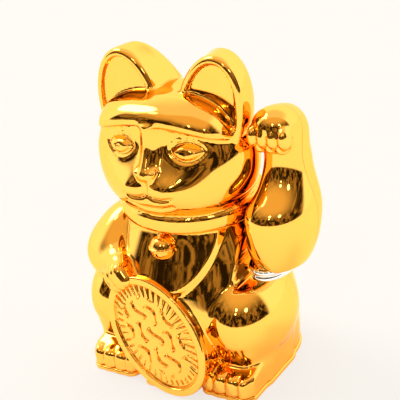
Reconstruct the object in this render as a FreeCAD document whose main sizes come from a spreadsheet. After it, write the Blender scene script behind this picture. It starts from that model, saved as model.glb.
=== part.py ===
"""Beckoning cat with a battery-driven waving arm: plated plastic shells around a pendulum drive.

Frame: millimetres, +Z up, origin on the ground under the middle of the body. The cat faces -Y, and its
waving arm is on its left, +X. The arm, its lever and the pendulum weight swing about a pin along X.
"""
import FreeCAD, Part
import Sketcher
import os

Vector = FreeCAD.Vector
Rotation = FreeCAD.Rotation

doc = FreeCAD.newDocument("BeckoningCat")
sheet = doc.addObject("Spreadsheet::Sheet", "Sizes")
kept = {}  # node name -> document object that is written out

# ---------------------------------------------------------------- driving dimensions

SIZES = {
    "wall": (1.8, "wall of the body shells"),
    "arm_wall": (1.2, "wall of the arm shells"),
    "seam_y": (1.4, "plane that parts the front and rear body shells"),
    "base_thick": (2.2, "base plate"),
    "pivot_x": (33.6, "middle of the lever hub"),
    "pivot_y": (-10.0, "pivot pin axis"),
    "pivot_z": (42.0, "pivot pin axis"),
    "pin_r": (1.0, "pivot pin radius"),
    "running_gap": (0.05, "radial play of the hub on the pin"),
    "shelf_z": (48.0, "top of the hip under the arm"),
    "recess_x": (30.0, "flat side of the body beside the arm"),
    "recess_top": (82.0, "top of the arm recess"),
    "arm_bottom": (55.0, "lower edge of the arm shells"),
    "arm_seam_y": (-3.0, "plane that parts the two arm shells"),
    "plug_bottom": (52.3, "underside of the arm plug"),
    "plug_x": (42.5, "middle of the arm plug"),
    "plug_y": (-10.0, "middle of the arm plug"),
    "opening_x": (38.5, "middle of the opening in the hip"),
    "opening_rx": (5.6, "half width of the opening"),
    "opening_ry": (13.0, "half length of the opening"),
    "cell_x": (-3.5, "middle of the battery"),
    "cell_y": (9.5, "axis of the battery"),
    "cell_z": (10.4, "axis of the battery"),
    "cell_r": (7.1, "battery radius"),
    "cell_length": (49.2, "battery can without its nub"),
    "tray_length": (54.0, "inside length of the battery tray"),
    "tray_width": (16.0, "inside width of the battery tray"),
    "door_length": (52.0, "opening for the battery door, along X"),
    "door_width": (16.8, "opening for the battery door, along Y"),
    "contact_thick": (0.4, "sheet metal of the battery contacts"),
    "tray_wall": (1.2, "wall of the battery tray"),
    "tray_height": (16.6, "inside height of the battery tray"),
    "door_gap": (0.25, "play round the battery door"),
    "bob_y": (-11.5, "middle of the pendulum weight"),
    "bob_x": (31.9, "middle of the pendulum weight"),
    "bob_bottom": (10.0, "lower end of the weight holder"),
    "bob_height": (22.4, "height of the weight holder"),
    "slug_width": (10.4, "steel weight along X"),
    "slug_depth": (21.0, "steel weight along Y"),
    "slug_height": (17.5, "steel weight along Z"),
    "holder_wall": (1.2, "wall of the weight holder"),
    "magnet_r": (3.8, "drive magnet radius"),
    "magnet_height": (3.4, "drive magnet thickness"),
    "coil_r": (6.4, "coil bobbin flange radius"),
    "coil_height": (4.6, "coil bobbin height"),
    "column_x": (17.6, "inner face of the frame column"),
    "column_width": (7.4, "frame column along X"),
    "screw_r": (1.2, "self-tapping screw shank radius"),
    "head_r": (2.6, "screw head radius"),
    "head_height": (1.3, "screw head height"),
    "screw_length": (8.0, "screw shank length"),
    "screw_bite": (0.05, "clearance of a screw in its pilot hole"),
    "hole_gap": (0.2, "clearance of a screw in the base plate"),
    "post_r": (3.6, "screw post radius"),
    "coin_x": (-1.0, "middle of the coin plaque"),
    "coin_y": (-41.6, "middle of the coin plaque"),
    "coin_z": (26.0, "middle of the coin plaque"),
    "coin_long": (30.0, "half length of the coin"),
    "coin_short": (21.0, "half width of the coin"),
    "coin_thick": (3.0, "coin plaque"),
    "coin_turn": (42.0, "lean of the coin's long axis, degrees"),
    "coin_tilt": (8.5, "backward tilt of the coin's face, degrees"),
    "collar_z": (77.0, "middle of the collar"),
    "collar_y": (-5.0, "middle of the collar"),
    "collar_ring": (28.4, "collar ring radius"),
    "collar_r": (3.1, "collar roll radius"),
    "collar_tilt": (14.0, "forward tilt of the collar, degrees"),
    "bell_y": (-33.4, "middle of the bell"),
    "bell_z": (65.0, "middle of the bell"),
    "bell_r": (5.4, "bell radius"),
}

# Ellipsoids that shape the body: middle x, y, z, then radii along x, y, z.
FORMS = {
    "head": (0, -9, 103, 37, 31, 32),
    "knee_left": (28.5, -20, 26, 18, 20, 23),
    "knee_right": (-28.5, -20, 26, 18, 20, 23),
    "foot_left": (31, -29, 6, 14, 14.5, 11),
    "foot_right": (-30.5, -29, 6, 14, 14.5, 11),
    "upper_arm": (-35.5, -14, 56, 12.5, 13.5, 19),
    "hand": (-29, -29, 44, 13.5, 13, 13),
    "paw": (45.5, -9, 119, 9.5, 10, 8),
}
HOLLOW_FORMS = ("head", "knee_left", "knee_right", "upper_arm")

# Sections of the torso: height, radius x, radius y, middle y.
TORSO = (
    (3, 45.5, 36, -4), (14, 48, 37, -4), (28, 49.5, 37, -3), (44, 47, 35, -2),
    (58, 41, 32, -2), (70, 35.5, 29, -2.5), (80, 27, 24.5, -4), (88, 21, 19, -6),
)
# Sections of the raised arm: height, middle x, middle y, radius x, radius y.
ARM = (
    (55, 44.5, -10.5, 11.8, 15.5), (61, 45.6, -8, 14.2, 19), (70, 46, -6, 15.2, 20.5),
    (82, 47, -3, 13.4, 17), (96, 48.2, 0, 10.8, 13), (110, 48.5, 0.5, 9.8, 10.5),
    (120, 48, -0.5, 9, 9.5), (126, 47.6, -1.5, 5, 5.5),
)
# Sections of the left ear: y, middle x, middle z, half height, half width. The right ear mirrors it.
EAR = ((-18, 21, 121, 27, 13.5), (-3, 20, 121, 27.5, 14), (14, 14, 107, 14, 11))
EAR_LEAN = 8.0
# Middles of the screws through the base plate, x and y: into the shells' posts, and into the swing frame.
CASE_SCREWS = ((18, -33), (-33, -25), (14, 27), (-14, 27))
FRAME_SCREWS = ((21.3, -14), (21.3, -6))
BASE_TOP = "@base_thick"
TOLERANCE = 0.001  # for joining the body's curved forms
SIDES = {"left": 1, "right": -1}

row = 1


def set_size(alias, value, note):
    """Writes one named size on its own row of the sheet."""
    global row
    sheet.set(f"A{row}", note)
    sheet.set(f"B{row}", str(value))
    sheet.setAlias(f"B{row}", alias)
    row += 1


def fill_sheet():
    for alias, (value, note) in SIZES.items():
        set_size(alias, value, note)
    for form, values in FORMS.items():
        for part, value in zip(("cx", "cy", "cz", "rx", "ry", "rz"), values):
            set_size(f"{form}_{part}", value, f"{form} {part}")
    for prefix, names, sections in (
        ("torso", ("height", "rx", "ry", "cy"), TORSO),
        ("arm", ("height", "cx", "cy", "rx", "ry"), ARM),
        ("ear", ("cy", "cx", "cz", "tall", "wide"), EAR),
    ):
        for n, section in enumerate(sections):
            for part, value in zip(names, section):
                set_size(f"{prefix}{part.title()}_{'abcdefgh'[n]}", value, f"{prefix} section {n} {part}")
    doc.recompute()


def size(alias):
    return float(getattr(sheet, alias))


def s(text):
    """Turns @name in an expression into a reference to that cell."""
    return str(text).replace("@", "Sizes.")


# ---------------------------------------------------------------- building blocks


def bind(obj, **expressions):
    for prop, text in expressions.items():
        obj.setExpression(prop, s(text))
    return obj


def place(obj, x=0, y=0, z=0, rotation=None):
    if rotation is not None:
        obj.Placement = FreeCAD.Placement(Vector(0, 0, 0), rotation)
    for axis, text in (("x", x), ("y", y), ("z", z)):
        obj.setExpression(f"Placement.Base.{axis}", s(text))
    return obj


ALONG_X = Rotation(Vector(0, 1, 0), 90)


def box(name, x, y, z, length, width, height):
    obj = doc.addObject("Part::Box", name)
    bind(obj, Length=length, Width=width, Height=height)
    return place(obj, x, y, z)


def cylinder(name, x, y, z, radius, height, rotation=None):
    obj = doc.addObject("Part::Cylinder", name)
    bind(obj, Radius=radius, Height=height)
    return place(obj, x, y, z, rotation)


def ellipsoid(name, form, inset="0"):
    obj = doc.addObject("Part::Ellipsoid", name)
    bind(obj, Radius1=f"@{form}_rz - {inset}", Radius2=f"@{form}_rx - {inset}", Radius3=f"@{form}_ry - {inset}")
    return place(obj, f"@{form}_cx", f"@{form}_cy", f"@{form}_cz")


def ellipse(name, x, y, z, radius_x, radius_y, rotation=None):
    """An ellipse wire. Its longer radius may lie along either axis of its plane."""
    obj = doc.addObject("Part::Ellipse", name)
    along_y = float(doc_value(radius_y)) > float(doc_value(radius_x))
    major, minor = (radius_y, radius_x) if along_y else (radius_x, radius_y)
    bind(obj, MajorRadius=major, MinorRadius=minor)
    turn = Rotation(Vector(0, 0, 1), 90) if along_y else Rotation()
    return place(obj, x, y, z, (rotation or Rotation()) * turn)


def doc_value(text):
    """The number that an expression of the sheet gives now."""
    return sheet.evalExpression(str(text).replace("@", ""))


def loft(name, sections, ruled=False):
    obj = doc.addObject("Part::Loft", name)
    obj.Sections = sections
    obj.Solid = True
    obj.Ruled = ruled
    return obj


def fuse(name, shapes):
    obj = doc.addObject("Part::MultiFuse", name)
    obj.Shapes = shapes
    return obj


def cut(name, base, tool):
    obj = doc.addObject("Part::Cut", name)
    obj.Base, obj.Tool = base, tool
    return obj


def common(name, shapes):
    obj = doc.addObject("Part::MultiCommon", name)
    obj.Shapes = shapes
    return obj


def keep(node, obj):
    obj.Label = node
    kept[node] = obj
    return obj


def shape_feature(name, shape):
    """A plain feature for a shape made with Part's own functions."""
    obj = doc.addObject("Part::Feature", name)
    obj.Shape = shape
    return obj


# ---------------------------------------------------------------- PartDesign helpers


def new_body(name):
    return doc.addObject("PartDesign::Body", name)


def new_sketch(body, name, role, offset=0):
    sketch = body.newObject("Sketcher::SketchObject", name)
    plane = next(f for f in body.Origin.OriginFeatures if f.Role == role)
    sketch.AttachmentSupport = [(plane, "")]
    sketch.MapMode = "FlatFace"
    if offset:
        sketch.setExpression("AttachmentOffset.Base.z", s(offset))
    return sketch


def measure(sketch, index, expression):
    sketch.renameConstraint(index, f"measure{index}")
    sketch.setExpression(f"Constraints.measure{index}", s(expression))


def add_circle(sketch, radius, x=None, y=None):
    """A circle at the sketch's origin, or at a distance x, y from it."""
    centre = Vector(float(doc_value(x or 0)), float(doc_value(y or 0)), 0)
    edge = sketch.addGeometry(Part.Circle(centre, Vector(0, 0, 1), float(doc_value(radius))), False)
    measure(sketch, sketch.addConstraint(Sketcher.Constraint("Radius", edge, float(doc_value(radius)))), radius)
    if x is None:
        sketch.addConstraint(Sketcher.Constraint("Coincident", edge, 3, -1, 1))
        return edge
    for kind, text, now in (("DistanceX", x, centre.x), ("DistanceY", y, centre.y)):
        measure(sketch, sketch.addConstraint(Sketcher.Constraint(kind, -1, 1, edge, 3, now)), text)
    return edge


def add_rectangle(sketch, length, width):
    """A rectangle centred on the sketch's origin."""
    a, b = float(doc_value(length)) / 2, float(doc_value(width)) / 2
    corners = [Vector(-a, -b, 0), Vector(a, -b, 0), Vector(a, b, 0), Vector(-a, b, 0)]
    lines = [
        sketch.addGeometry(Part.LineSegment(corners[n], corners[(n + 1) % 4]), False) for n in range(4)
    ]
    for n in range(4):
        sketch.addConstraint(Sketcher.Constraint("Coincident", lines[n], 2, lines[(n + 1) % 4], 1))
        sketch.addConstraint(Sketcher.Constraint("Horizontal" if n % 2 == 0 else "Vertical", lines[n]))
    sketch.addConstraint(Sketcher.Constraint("Symmetric", lines[0], 1, lines[2], 1, -1, 1))
    measure(sketch, sketch.addConstraint(Sketcher.Constraint("DistanceX", lines[0], 1, lines[0], 2, 2 * a)), length)
    measure(sketch, sketch.addConstraint(Sketcher.Constraint("DistanceY", lines[1], 1, lines[1], 2, 2 * b)), width)


def add_profile(sketch, points):
    """A closed outline of straight lines. Each point is a pair of positive expressions from the origin."""
    at = [Vector(float(doc_value(x)), float(doc_value(y)), 0) for x, y in points]
    count = len(at)
    lines = [
        sketch.addGeometry(Part.LineSegment(at[n], at[(n + 1) % count]), False) for n in range(count)
    ]
    for n in range(count):
        sketch.addConstraint(Sketcher.Constraint("Coincident", lines[n], 2, lines[(n + 1) % count], 1))
        for kind, text, now in (("DistanceX", points[n][0], at[n].x), ("DistanceY", points[n][1], at[n].y)):
            measure(sketch, sketch.addConstraint(Sketcher.Constraint(kind, -1, 1, lines[n], 1, now)), text)


def add_feature(body, kind, name, sketch, **expressions):
    feature = body.newObject(f"PartDesign::{kind}", name)
    feature.Profile = sketch
    bind(feature, **expressions)
    doc.recompute()
    return feature


# ---------------------------------------------------------------- body shells


def torso_form(tag, inset):
    sections = []
    for n, letter in enumerate("abcdefgh"):
        lift = {0: "- 3", len(TORSO) - 1: f"- {inset}"}.get(n, "")
        sections.append(ellipse(
            f"torso_{tag}_{letter}", 0, f"@torsoCy_{letter}", f"@torsoHeight_{letter} {lift}",
            f"@torsoRx_{letter} - {inset}", f"@torsoRy_{letter} - {inset}"))
    return loft(f"torso_{tag}", sections)


def ear_form(tag, side, inset):
    """side is 1 for the left ear and -1 for the right one."""
    stand_up = Rotation(Vector(1, 0, 0), 90)
    sections = []
    for letter in "abc":
        lean = Rotation(Vector(0, 1, 0), side * EAR_LEAN)
        back = {"a": f"+ {inset}", "c": f"- {inset}"}.get(letter, "")
        sections.append(ellipse(
            f"ear_{tag}_{letter}", f"{side} * @earCx_{letter}", f"@earCy_{letter} {back}", f"@earCz_{letter}",
            f"@earWide_{letter} - {inset}", f"@earTall_{letter} - {inset}", lean * stand_up))
    return loft(f"ear_{tag}", sections, ruled=True)


def body_forms(tag, inset):
    """The trunk with the arm recess taken out of it, the head and the ears, or with an inset their hollows."""
    names = HOLLOW_FORMS if tag == "inner" else [form for form in FORMS if form != "paw"]
    forms = {name: ellipsoid(f"{name}_{tag}", name, inset) for name in names}
    head = forms.pop("head")
    lower = [torso_form(tag, inset)] + list(forms.values())
    recess = box(f"recess_{tag}", f"@recess_x - {inset}", -40, f"@shelf_z - {inset}", 40, 66,
                 "@recess_top - @shelf_z")
    trunk = cut(f"trunk_{tag}", fuse(f"lower_{tag}", lower), recess)
    return [trunk, head] + [ear_form(f"{tag}_{side}", SIDES[side], inset) for side in SIDES]


def collar():
    ring = doc.addObject("Part::Torus", "collar_roll")
    bind(ring, Radius1="@collar_ring", Radius2="@collar_r")
    return place(ring, 0, "@collar_y", "@collar_z", Rotation(Vector(1, 0, 0), size("collar_tilt")))


def coin_blank(name, grow="0"):
    """The coin's oval slab, or a slightly larger one that cuts its seat."""
    lean = Rotation(Vector(1, 0, 0), -size("coin_tilt"))
    facing = lean * Rotation(Vector(1, 0, 0), 90) * Rotation(Vector(0, 0, 1), size("coin_turn") + 90)
    outline = doc.addObject("Part::Ellipse", f"{name}_outline")
    bind(outline, MajorRadius=f"@coin_long + {grow}", MinorRadius=f"@coin_short + {grow}")
    place(outline, "@coin_x", "@coin_y", "@coin_z", facing)
    slab = doc.addObject("Part::Extrusion", name)
    slab.Base = outline
    slab.DirMode = "Normal"
    slab.Solid = True
    bind(slab, LengthFwd=f"@coin_thick / 2 + {grow}", LengthRev=f"@coin_thick / 2 + {grow}")
    return slab


def join(objects):
    """The union of several shapes, with a small tolerance where their curved faces nearly touch."""
    doc.recompute()
    first, *others = [obj.Shape for obj in objects]
    return first.multiFuse(others, TOLERANCE)


def remove(shape, tools):
    doc.recompute()
    for tool in tools:
        shape = shape.cut((tool.Shape,), TOLERANCE)
    return shape


def body_shells():
    outside = join(body_forms("outer", "0") + [collar()])
    hollow = shape_feature("body_hollow", join(body_forms("inner", "@wall")))
    walls = remove(outside, [
        hollow, box("below_base", -80, -80, -20, 160, 160, f"20 + {BASE_TOP}"), pendulum_bay(), hip_opening(),
        coin_blank("coin_seat", "0.1"), ball("bell_seat", "@bell_r + 0.05"),
    ])
    other_sides = {
        "front": box("rear_side", -80, "@seam_y", -20, 160, 80, 200),
        "rear": box("front_side", -80, -80, -20, 160, "80 + @seam_y", 200),
    }
    for half, other_side in other_sides.items():
        walls_half = shape_feature(f"{half}_walls", remove(walls, [other_side]))
        posts = [
            screw_post(f"{half}_post_{n}", x, y) for n, (x, y) in enumerate(CASE_SCREWS)
            if (y < size("seam_y")) == (half == "front")
        ]
        keep(f"{half}_shell", shape_feature(f"{half}_shell", join([walls_half] + posts)))


def screw_post(name, x, y):
    column = cylinder(f"{name}_column", x, y, BASE_TOP, "@post_r", "@screw_length + 4")
    pilot = cylinder(f"{name}_pilot", x, y, 0, "@screw_r + @screw_bite", f"{BASE_TOP} + @screw_length")
    return cut(name, column, pilot)


def pendulum_bay():
    """Room for the swinging weight where the hip's wall would be too close."""
    return box("pendulum_bay", "@bob_x - 6.8", -30.5, 0, 13.6, 38, 34)


def hip_opening():
    outline = ellipse("hip_opening_outline", "@opening_x", "@pivot_y - 1", "@shelf_z - 5",
                      "@opening_rx", "@opening_ry")
    hole = doc.addObject("Part::Extrusion", "hip_opening")
    hole.Base = outline
    hole.DirMode = "Normal"
    hole.Solid = True
    bind(hole, LengthFwd="10")
    return hole


def ball(name, radius):
    """A sphere at the bell's place, its poles to the sides and its seam to the front, clear of the shell."""
    obj = doc.addObject("Part::Sphere", name)
    bind(obj, Radius=radius)
    seam_forward = Rotation(Vector(0, -1, 0), Vector(0, 0, -1), Vector(1, 0, 0))
    return place(obj, 0, "@bell_y", "@bell_z", seam_forward)


def ornaments():
    """The coin plaque that the right paw holds, and the bell under the collar."""
    slab = coin_blank("coin_slab")
    under = box("under_coin", -80, -80, -20, 160, 160, f"20 + {BASE_TOP}")
    keep("coin_plaque", cut("coin_plaque", slab, under))
    keep("collar_bell", ball("collar_bell", "@bell_r"))


# ---------------------------------------------------------------- base


def base_footprint(name, z, height, grow):
    """The plinth's outline: the body's oval, the two feet and the toe of the coin."""
    outline = ellipse(f"{name}_oval", 0, "@torsoCy_a", z, f"@torsoRx_a + {grow}", f"@torsoRy_a + {grow}")
    slab = doc.addObject("Part::Extrusion", f"{name}_slab")
    slab.Base = outline
    slab.DirMode = "Normal"
    slab.Solid = True
    bind(slab, LengthFwd=height)
    feet = [
        cylinder(f"{name}_{form}", f"@{form}_cx", f"@{form}_cy", z, f"@{form}_rx - 1 + {grow}", height)
        for form in ("foot_left", "foot_right")
    ]
    toe = box(f"{name}_toe", -6, -45.6, z, 24, 20, height)
    return fuse(name, [slab, toe] + feet)


def base_plate():
    plate = base_footprint("base_form", 0, "@base_thick", "0.5")
    ribs = [
        box(f"board_post_{n}", x, -16, f"{BASE_TOP} - 0.5", 3, 3, 3.5) for n, x in enumerate((-25.5, -3.5))
    ]
    screws = CASE_SCREWS + FRAME_SCREWS
    holes = [
        cylinder(f"base_hole_{n}", x, y, -1, "@screw_r + @hole_gap", 8) for n, (x, y) in enumerate(screws)
    ]
    holes += [
        cylinder(f"base_counterbore_{n}", x, y, -1, "@head_r + @hole_gap", "@head_height + 1.1")
        for n, (x, y) in enumerate(screws)
    ]
    holes.append(box("door_opening", "@cell_x - @door_length / 2", "@cell_y - @door_width / 2", -1,
                     "@door_length", "@door_width", 8))
    keep("base_plate", cut("base_plate", fuse("base_solid", [plate] + ribs), fuse("base_cuts", holes)))


def battery_door():
    """A press-in lid with a finger notch at one end and a springy tongue beside it."""
    body = new_body("door_body")
    outline = new_sketch(body, "door_outline", "XY_Plane")
    add_rectangle(outline, "@door_length - 2 * @door_gap", "@door_width - 2 * @door_gap")
    add_feature(body, "Pad", "door_pad", outline, Length="@base_thick")
    tongue = new_sketch(body, "tongue_slot", "XY_Plane")
    add_profile(tongue, (("17", "2.4"), ("24", "2.4"), ("24", "3.2"), ("17", "3.2")))
    slot = add_feature(body, "Pocket", "tongue_pocket", tongue, Length="@base_thick")
    slot.Reversed = True
    slot.Midplane = False
    mirror = body.newObject("PartDesign::Mirrored", "tongue_pair")
    mirror.Originals = [slot]
    mirror.MirrorPlane = (next(f for f in body.Origin.OriginFeatures if f.Role == "XZ_Plane"), [""])
    body.Tip = mirror
    place(body, "@cell_x", "@cell_y", 0)
    keep("battery_door", body)


def compound(name, objects):
    obj = doc.addObject("Part::Compound", name)
    obj.Links = objects
    return obj


def screws(node, spots):
    """Pan-head screws driven upwards through the base plate, as one group of separate solids."""
    made = []
    for n, (x, y) in enumerate(spots):
        head = cylinder(f"{node}_head_{n}", x, y, 0.1, "@head_r", "@head_height")
        shank = cylinder(f"{node}_shank_{n}", x, y, 0.1, "@screw_r", "@head_height + @screw_length")
        slot = box(f"{node}_slot_{n}", x - 1.6, y - 0.3, 0, 3.2, 0.6, 0.7)
        made.append(cut(f"{node}_{n}", fuse(f"{node}_blank_{n}", [head, shank]), slot))
    keep(node, compound(node, made))


# ---------------------------------------------------------------- battery


def battery_tray():
    outer = box("tray_outer",
                "@cell_x - @tray_length / 2 - @tray_wall", "@cell_y - @tray_width / 2 - @tray_wall", BASE_TOP,
                "@tray_length + 2 * @tray_wall", "@tray_width + 2 * @tray_wall", "@tray_height + @tray_wall")
    inner = box("tray_inner", "@cell_x - @tray_length / 2", "@cell_y - @tray_width / 2", 0,
                "@tray_length", "@tray_width", f"{BASE_TOP} + @tray_height")
    slots = [
        box(f"tray_slot_{n}", x, "@cell_y - 1.5", 8, 4, 3, 5)
        for n, x in enumerate(("@cell_x - @tray_length / 2 - 2", "@cell_x + @tray_length / 2 - 2"))
    ]
    window = box("tray_window", "@cell_x - 14", "@cell_y - 4", 15, 28, 8, 12)
    keep("battery_tray", cut("battery_tray", outer, fuse("tray_cuts", [inner, window] + slots)))


def battery_cell():
    can = cylinder("cell_can", "@cell_x - @cell_length / 2", "@cell_y", "@cell_z",
                   "@cell_r", "@cell_length", ALONG_X)
    nub = cylinder("cell_nub", "@cell_x + @cell_length / 2", "@cell_y", "@cell_z", 2.6, 1.1, ALONG_X)
    keep("battery_cell", fuse("battery_cell", [can, nub]))


def contact_plate(name, x):
    return box(f"{name}_plate", x, "@cell_y - 5", 5.5, "@contact_thick", 10, 11)


def contact_tag(name, x):
    """The solder tag that stands out of the tray's end wall."""
    return box(f"{name}_tag", x, "@cell_y - 1", 9.5, 4.2, 2, 0.5)


def contact_spring():
    helix = doc.addObject("Part::Helix", "spring_helix")
    helix.Height, helix.Pitch, helix.Radius = 1.5, 0.75, 3.0
    wire = doc.addObject("Part::Circle", "spring_wire")
    wire.Radius = 0.3
    wire.Placement = FreeCAD.Placement(Vector(3, 0, 0), Rotation(Vector(1, 0, 0), 90))
    turns = doc.addObject("Part::Sweep", "spring_coil")
    turns.Sections = [wire]
    turns.Spine = (helix, ["Edge1"])
    turns.Solid, turns.Frenet = True, True
    return place(turns, "@cell_x - @tray_length / 2 + 0.6", "@cell_y", "@cell_z", ALONG_X)


def battery_contacts():
    front_end = "@cell_x + @tray_length / 2 - @contact_thick - 0.05"
    keep("positive_contact", fuse("positive_contact", [
        contact_plate("positive", front_end), contact_tag("positive", front_end)]))
    keep("negative_contact", fuse("negative_contact", [
        contact_plate("negative", "@cell_x - @tray_length / 2 + 0.05"),
        contact_tag("negative", "@cell_x - @tray_length / 2 - 3.75"), contact_spring()]))


# ---------------------------------------------------------------- drive


def swing_frame():
    """A column on the base with a boss at the top that grips the pivot pin."""
    column = box("frame_column", "@column_x", "@pivot_y - 6", BASE_TOP, "@column_width", 12,
                 f"@pivot_z + 4 - {BASE_TOP}")
    flange = box("frame_flange", "@column_x", "@pivot_y - 9", BASE_TOP, "@column_width", 18, 3)
    boss = cylinder("frame_boss", "@column_x + @column_width - 1", "@pivot_y", "@pivot_z", 3.8, 5, ALONG_X)
    gusset = box("frame_window", "@column_x - 1", "@pivot_y - 3.5", 16, "@column_width + 2", 7, 18)
    bore = cylinder("frame_bore", "@column_x - 1", "@pivot_y", "@pivot_z", "@pin_r", 20, ALONG_X)
    holes = [
        cylinder(f"frame_pilot_{n}", x, y, 0, "@screw_r + @screw_bite", f"{BASE_TOP} + @screw_length")
        for n, (x, y) in enumerate(FRAME_SCREWS)
    ]
    keep("swing_frame", cut("swing_frame", fuse("frame_solid", [column, flange, boss]),
                            fuse("frame_cuts", [gusset, bore] + holes)))


def pivot():
    keep("pivot_pin", cylinder("pivot_pin", "@column_x", "@pivot_y", "@pivot_z", "@pin_r", "21.6", ALONG_X))
    washer = cylinder("clip_disc", "@pivot_x + 4.6", "@pivot_y", "@pivot_z", 2.4, 0.7, ALONG_X)
    hole = cylinder("clip_hole", "@pivot_x + 4", "@pivot_y", "@pivot_z", "@pin_r", 2, ALONG_X)
    keep("pin_clip", cut("pin_clip", washer, hole))


def swing_lever():
    """One moulding: hub on the pin, neck up into the arm, arm down to the holder of the weight."""
    hub = cylinder("lever_hub", "@pivot_x - 4.2", "@pivot_y", "@pivot_z", 3.0, 8.5, ALONG_X)
    neck = box("lever_neck", "@pivot_x + 1.1", "@pivot_y - 2.5", "@pivot_z",
               3.2, 5, "@arm_bottom + 6 - @pivot_z")
    rod = box("lever_rod", "@pivot_x - 4.2", "@pivot_y - 3.4", "@bob_bottom + @bob_height - 1", 2.6, 5,
              "@pivot_z - @bob_bottom - @bob_height + 1")
    holder = box("holder_outer",
                 "@bob_x - @slug_width / 2 - @holder_wall", "@bob_y - @slug_depth / 2 - @holder_wall",
                 "@bob_bottom",
                 "@slug_width + 2 * @holder_wall", "@slug_depth + 2 * @holder_wall", "@bob_height")
    pocket = box("holder_pocket", "@bob_x - @slug_width / 2", "@bob_y - @slug_depth / 2", "@bob_bottom - 1",
                 "@slug_width", "@slug_depth", "@bob_height - @holder_wall + 1")
    bore = cylinder("lever_bore", "@pivot_x - 5", "@pivot_y", "@pivot_z", "@pin_r + @running_gap", 10, ALONG_X)
    keep("swing_lever", cut("swing_lever", fuse("lever_solid", [hub, neck, rod, holder]),
                            fuse("lever_cuts", [pocket, bore])))


def weight_and_magnet():
    top = "@bob_bottom + @bob_height - @holder_wall"
    keep("steel_weight", box(
        "steel_weight", "@bob_x - @slug_width / 2 + 0.05", "@bob_y - @slug_depth / 2 + 0.05",
        f"{top} - @slug_height", "@slug_width - 0.1", "@slug_depth - 0.1", "@slug_height"))
    keep("drive_magnet", cylinder("drive_magnet", "@bob_x", "@bob_y", f"{top} - @slug_height - @magnet_height",
                                  "@magnet_r", "@magnet_height"))


def coil():
    body = new_body("bobbin_body")
    sketch = new_sketch(body, "bobbin_section", "XZ_Plane")
    add_profile(sketch, (
        ("1.4", "0.1"), ("@coil_r", "0.1"), ("@coil_r", "0.9"), ("2.6", "0.9"), ("2.6", "@coil_height - 0.8"),
        ("@coil_r", "@coil_height - 0.8"), ("@coil_r", "@coil_height"), ("1.4", "@coil_height")))
    turned = body.newObject("PartDesign::Revolution", "bobbin_turned")
    turned.Profile = sketch
    turned.ReferenceAxis = (sketch, ["V_Axis"])
    turned.Angle = 360
    place(body, "@bob_x", "@bob_y", f"{BASE_TOP} - 0.1")
    keep("coil_bobbin", body)
    ring = cylinder("winding_ring", "@bob_x", "@bob_y", f"{BASE_TOP} + 0.85",
                    "@coil_r - 0.5", "@coil_height - 1.8")
    core = cylinder("winding_core", "@bob_x", "@bob_y", BASE_TOP, 2.65, "@coil_height")
    keep("coil_winding", cut("coil_winding", ring, core))


def circuit_board():
    keep("circuit_board", box("circuit_board", -27, -20, f"{BASE_TOP} + 3", 28, 13, 1.2))
    top = f"{BASE_TOP} + 4.2"
    drum = cylinder("capacitor", -20, -14, top, 2.5, 7)
    transistor = box("transistor", -13, -16, top, 4.6, 3.6, 4.6)
    blob = box("driver_chip", -5.5, -16, top, 4, 4, 1.4)
    resistor = cylinder("resistor", -15, -18, f"{BASE_TOP} + 5", 0.8, 4, ALONG_X)
    keep("board_components", compound("board_components", [drum, transistor, blob, resistor]))


def wire(points, radius):
    """A round wire along a smooth curve through the points."""
    curve = Part.BSplineCurve()
    curve.interpolate([Vector(*p) for p in points])
    spine = Part.Wire([curve.toShape()])
    start, along = curve.value(curve.FirstParameter), curve.tangent(curve.FirstParameter)[0]
    ring = Part.Wire([Part.Circle(start, along, radius).toShape()])
    return spine.makePipeShell([ring], True, False)


def leads():
    """Two leads from the battery contacts to the circuit board, and the coil's pair."""
    y, tag_z = size("cell_y"), 10.55
    right = size("cell_x") + size("tray_length") / 2 + 3.4
    left = size("cell_x") - size("tray_length") / 2 - 3.4
    board_top = size("base_thick") + 4.75
    keep("positive_lead", shape_feature("positive_lead", wire(
        ((right - 0.3, y, tag_z), (right + 0.8, y + 4.5, 17), (right - 5, y + 4, 22.2), (8, 6, 22.6),
         (2.5, -1.2, 20.6), (-0.5, -5.5, 14), (-2, -9.5, board_top)), 0.5)))
    keep("negative_lead", shape_feature("negative_lead", wire(
        ((left + 0.4, y, tag_z), (left + 0.8, y - 6, 12), (-30.5, -5, 13), (-24, -11, board_top)), 0.5)))
    start_x, start_y = size("bob_x") - 2.4, size("bob_y") - size("coil_r") - 0.45
    strands = [
        wire(((start_x + gap, start_y, 4.5), (25, -20.5 - gap, 4.2), (10, -21.4 - gap, 6),
              (-2 - gap, -18.2, board_top)), 0.35)
        for gap in (0, 1.3)
    ]
    keep("coil_leads", shape_feature("coil_leads", Part.makeCompound(strands)))


# ---------------------------------------------------------------- waving arm


def arm_form(tag, inset):
    sections = []
    for n, letter in enumerate("abcdefgh"):
        shift = {0: f"- {inset}", len(ARM) - 1: f"- {inset}"}.get(n, "")
        sections.append(ellipse(
            f"arm_{tag}_{letter}", f"@armCx_{letter}", f"@armCy_{letter}", f"@armHeight_{letter} {shift}",
            f"@armRx_{letter} - {inset}", f"@armRy_{letter} - {inset}"))
    return fuse(f"arm_{tag}", [loft(f"forearm_{tag}", sections), ellipsoid(f"paw_{tag}", "paw", inset)])


def arm_shells():
    hollow = cut("hollow_arm", arm_form("outer", "0"), arm_form("inner", "@arm_wall"))
    halves = {
        "front": box("arm_front_half", 0, -80, 0, 90, "80 + @arm_seam_y", 200),
        "rear": box("arm_rear_half", 0, "@arm_seam_y", 0, 90, 80, 200),
    }
    for half, space in halves.items():
        keep(f"arm_{half}_shell", common(f"arm_{half}_shell", [hollow, space]))


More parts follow.
